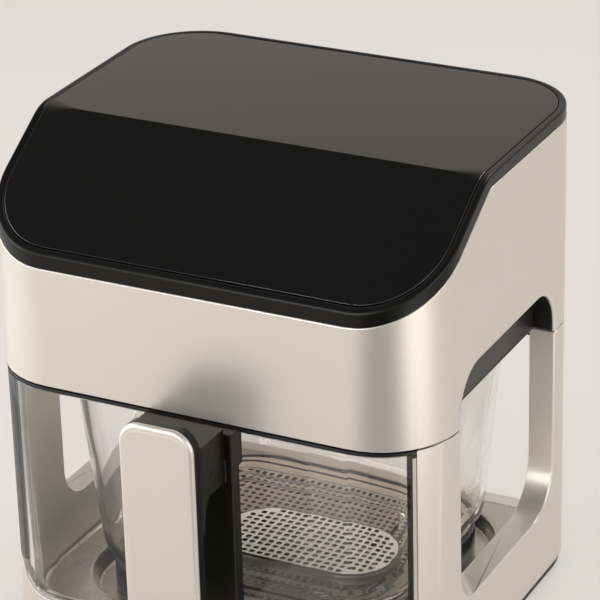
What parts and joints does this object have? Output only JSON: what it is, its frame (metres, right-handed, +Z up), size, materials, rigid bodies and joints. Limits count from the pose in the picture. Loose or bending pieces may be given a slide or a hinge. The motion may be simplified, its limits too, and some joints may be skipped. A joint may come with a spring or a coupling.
{
  "type": "electric countertop cooker with a slide-out glass vessel",
  "caption": "Heating head on a four-post metal frame over a clear glass vessel that slides out on a front handle, with a lift-out perforated tray and a black hot plate below.",
  "frame": {"origin": "centre of the whole object's bounding box in X and Y, on the surface the feet stand on", "axes": "+Z up, -Y towards the front where the handle is, +X to the right seen from the front"},
  "size_m": [0.3, 0.295, 0.315],
  "materials": {
    "champagne_metal": "satin metallic enamel",
    "black_plastic": "matt black, heat resistant",
    "steel": "brushed",
    "rubber": "matt",
    "bezel_black": "satin black",
    "black_glass": "gloss black glass, opaque",
    "display": "dark display",
    "circuit_board": "solder mask",
    "board_parts": "mixed parts",
    "dark_steel": "satin, dark",
    "motor_case": "zinc plated",
    "wire": "insulated wires",
    "clear_glass": "clear borosilicate",
    "pane_glass": "clear, lightly tinted",
    "magnet": "nickel plated"
  },
  "bodies": {
    "body": {"head_shell": "champagne_metal", "head_chassis": "black_plastic", "inner_pod": "black_plastic", "pod_screws": "steel", "vessel_seal": "rubber", "top_bezel": "bezel_black", "top_glass": "black_glass", "display_module": "display", "display_board": "circuit_board", "power_board": "circuit_board", "power_parts": "board_parts", "heat_shield": "steel", "heater_ring": "dark_steel", "heater_clips": "steel", "fan_motor": "motor_case", "motor_bracket": "steel", "guard_grille": "steel", "grille_screws": "steel", "thermal_cutout": "black_plastic", "temperature_probe": "steel", "reed_switch": "black_plastic", "rear_vent": "black_plastic", "cord_inlet": "black_plastic", "lower_frame": "champagne_metal", "frame_bolts": "steel", "base_tray": "champagne_metal", "base_pan": "black_plastic", "base_screws": "steel", "feet": "rubber", "hot_plate_housing": "black_plastic", "diffuser_plate": "dark_steel", "base_heater": "dark_steel", "base_heater_clips": "steel", "base_thermostat": "black_plastic", "guide_shoes": "black_plastic", "wire_harness": "wire"},
    "vessel": {"glass_vessel": "clear_glass", "front_glass": "pane_glass", "pane_gasket": "rubber", "pane_clips": "black_plastic", "inner_clamp": "black_plastic", "handle_bracket": "black_plastic", "handle_grip": "black_plastic", "handle_face": "champagne_metal", "handle_screws": "steel", "vessel_magnet": "magnet"},
    "tray": {"perforated_tray": "dark_steel", "tray_bumpers": "rubber"},
    "fan": {"fan_impeller": "steel", "cooling_fan": "black_plastic", "fan_shaft": "steel", "shaft_nut": "steel"}
  },
  "joints": [
    {"name": "vessel_slide", "type": "slide", "parent": "body", "child": "vessel", "axis": [0, -1, 0], "range_m": [0, 0.205]},
    {"name": "tray_lift", "type": "slide", "parent": "vessel", "child": "tray", "axis": [0, 0, 1], "range_m": [0, 0.11]},
    {"name": "fan_spin", "type": "hinge", "parent": "body", "child": "fan", "pos_m": [0, 0.027, 0.212], "axis": [0, 0, 1], "continuous": true}
  ]
}
